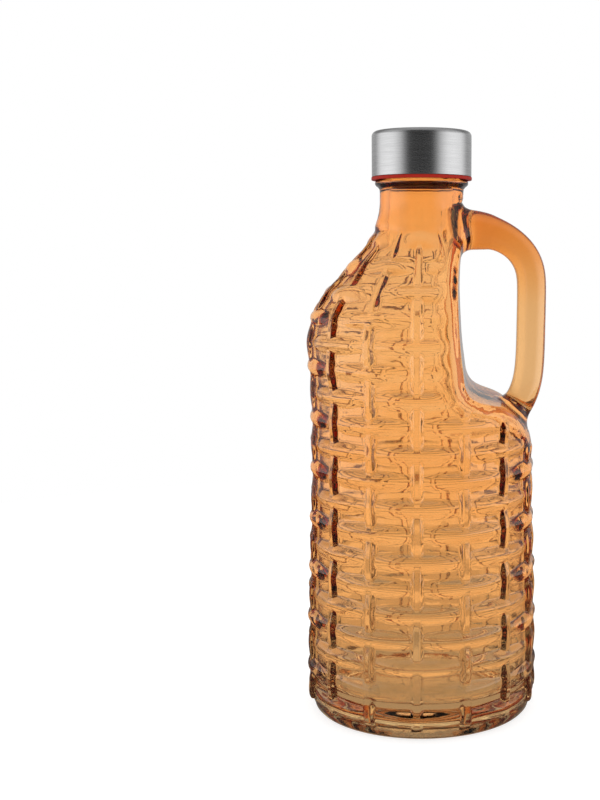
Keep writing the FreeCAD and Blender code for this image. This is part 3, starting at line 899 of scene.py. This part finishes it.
def seen_through(g, along, right, high, path, deep):
    """Light that reaches the eye through the glass: broad bright walls, on the left with a dark gap.
    Light that has run along inside the wall comes from the dim sides, and the amber coat takes its share."""
    across = g.math("ABSOLUTE", along)
    dark = g.ramp(across, ((0.0, 0.95), (0.54, 0.95), (0.60, 0.05), (0.69, 0.05), (0.76, 1.0), (0.93, 0.97), (0.985, 0.87), (1.0, 0.86)))
    pale = g.ramp(across, ((0.0, 0.75), (0.5, 0.7), (0.7, 0.8), (0.78, 1.0), (0.93, 0.97), (0.985, 0.87), (1.0, 0.86)))
    walls = g.mix(g.range(right, -0.02, 0.02), dark, pale)
    straight = g.mix(high, walls, 1.0)
    aside = g.ramp(across, ((0.0, 0.05), (0.5, 0.05), (0.7, 1.0), (1.0, 1.0)))
    first = g.math("COMPARE", path.outputs["Glossy Depth"], 1.0, 0.3)
    aside = g.math("MAXIMUM", aside, g.math("MULTIPLY", first, 0.85))
    aside = g.mix(high, aside, 0.5)
    turned = g.math("MINIMUM", path.outputs["Glossy Depth"], 1.0)
    light = g.math("MULTIPLY", g.mix(turned, straight, aside), WALL)
    more = g.math("SUBTRACT", g.math("MINIMUM", path.outputs["Glossy Depth"], 4.0), 1.0)
    more = g.math("MULTIPLY", g.math("MAXIMUM", more, 0.0), deep)
    return [g.math("MULTIPLY", light, g.math("POWER", c, more)) for c in (0.50, 0.12, 0.03)]


# floor: white to the eye, the room's light pattern through the glass
g = Graph(fnt)
f_path = fnt.nodes.new("ShaderNodeLightPath")
f_geo = fnt.nodes.new("ShaderNodeNewGeometry")
f_sep = fnt.nodes.new("ShaderNodeSeparateXYZ")
fnt.links.new(f_geo.outputs["Position"], f_sep.inputs[0])
f_far = g.length(f_sep.outputs["X"], f_sep.outputs["Y"])
f_along = g.math("DIVIDE", g.math("ABSOLUTE", f_sep.outputs["Y"]), g.math("MAXIMUM", f_far, 0.001))
f_away = g.range(f_far, 0.05, 0.10)
f_along = g.mix(f_away, 1.0, f_along)
f_rgb = fnt.nodes.new("ShaderNodeCombineXYZ")
# painted shadow: seen through the glass the floor is dimmed to 0.66-0.72 under and around the bottle, reaching full
# brightness half a metre out
for n, c in enumerate(seen_through(g, f_along, f_sep.outputs["X"], 0.0, f_path, g.range(f_far, 0.07, 0.15))):
    fnt.links.new(g.math("MULTIPLY", c, g.mix(f_away, 0.72, g.range(f_far, 0.2, 0.5, 0.66, 1.0))), f_rgb.inputs[n])
f_glow = fnt.nodes.new("ShaderNodeEmission")
fnt.links.new(f_rgb.outputs[0], f_glow.inputs["Color"])
f_mix = fnt.nodes.new("ShaderNodeMixShader")
# painted reflection: in reflections on the glass the floor is swapped for a dim grey glow
f_dim = fnt.nodes.new("ShaderNodeEmission")
f_dim.inputs["Color"].default_value = (0.12, 0.12, 0.12, 1)
f_gloss = fnt.nodes.new("ShaderNodeMixShader")
fnt.links.new(f_path.outputs["Is Glossy Ray"], f_gloss.inputs[0])
fnt.links.new(fbsdf.outputs[0], f_gloss.inputs[1])
fnt.links.new(f_dim.outputs[0], f_gloss.inputs[2])
fnt.links.new(f_path.outputs["Is Transmission Ray"], f_mix.inputs[0])
fnt.links.new(f_gloss.outputs[0], f_mix.inputs[1])
fnt.links.new(f_glow.outputs[0], f_mix.inputs[2])
fnt.links.new(f_mix.outputs[0], f_out.inputs["Surface"])

# world: white to the camera, a ring of bright panels with dark gaps for the glass
world = bpy.data.worlds.new("studio")
scene.world = world
world.use_nodes = True
wt = world.node_tree
wt.nodes.clear()
w_out = wt.nodes.new("ShaderNodeOutputWorld")
bg_cam = wt.nodes.new("ShaderNodeBackground")
bg_cam.inputs["Color"].default_value = (1, 1, 1, 1)
bg_cam.inputs["Strength"].default_value = 1.0
bg = wt.nodes.new("ShaderNodeBackground")
bg.inputs["Strength"].default_value = 1.0
path = wt.nodes.new("ShaderNodeLightPath")
mix = wt.nodes.new("ShaderNodeMixShader")
wt.links.new(path.outputs["Is Camera Ray"], mix.inputs[0])
wt.links.new(bg.outputs[0], mix.inputs[1])
wt.links.new(bg_cam.outputs[0], mix.inputs[2])
wt.links.new(mix.outputs[0], w_out.inputs[0])
tc = wt.nodes.new("ShaderNodeTexCoord")
ws = wt.nodes.new("ShaderNodeSeparateXYZ")
wt.links.new(tc.outputs["Generated"], ws.inputs[0])

w = Graph(wt)
X, Y, Z = ws.outputs["X"], ws.outputs["Y"], ws.outputs["Z"]
along_y = w.math("DIVIDE", Y, w.math("MAXIMUM", w.length(X, Y), 0.001))      # +1 behind the bottle, -1 in front
overhead = w.range(Z, 0.55, 0.8)
softbox = w.range(Z, 0.68, 0.84)
through = seen_through(w, along_y, X, overhead, path, w.range(along_y, 0.92, 0.99, 0.65, 0.15))
# mirrored in the outside: soft strip lights left and right, dim room in front, pale above the horizon behind
strips = w.ramp(w.math("MULTIPLY_ADD", along_y, 0.5, 0.5), (
    (0.0, 0.02), (0.05, 0.03), (0.085, 0.15), (0.165, 0.62), (0.28, 0.95), (0.415, 1.0), (0.63, 0.88), (0.81, 0.32), (1.0, 0.32)))
strips = w.math("MAXIMUM", strips, w.math("MULTIPLY", w.range(Z, 0.0, 0.18), w.range(along_y, 0.5, 0.8, 0.0, 0.45)))
strips = w.math("MULTIPLY", strips, w.range(Z, 0.12, 0.4, 1.36, 0.6))
mirrored = w.mix(softbox, strips, 0.4)
level = w.mix(path.outputs["Is Glossy Ray"], ROOM, mirrored)
rgb = wt.nodes.new("ShaderNodeCombineXYZ")
for n, c in enumerate(through):
    wt.links.new(w.mix(path.outputs["Is Transmission Ray"], level, c), rgb.inputs[n])
wt.links.new(rgb.outputs[0], bg.inputs["Color"])

# ---------------------------------------------------------------------- camera
cam_data = bpy.data.cameras.new("camera")
cam = bpy.data.objects.new("camera", cam_data)
scene.collection.objects.link(cam)
az, pitch, dist, high = math.radians(2.2), math.radians(6.8), 0.530, 0.199
cam.location = (dist * math.sin(az), -dist * math.cos(az), high)
cam.rotation_euler = (math.pi / 2 - pitch, 0, az)
cam_data.sensor_width = 36.0
cam_data.lens = 54.8
cam_data.shift_x = -0.152
cam_data.clip_start = 0.01
cam_data.clip_end = 50
scene.camera = cam

scene.view_settings.view_transform = "Standard"
scene.cycles.max_bounces = 24
scene.cycles.transmission_bounces = 24
scene.cycles.glossy_bounces = 8
scene.cycles.transparent_max_bounces = 16

bpy.context.view_layer.update()
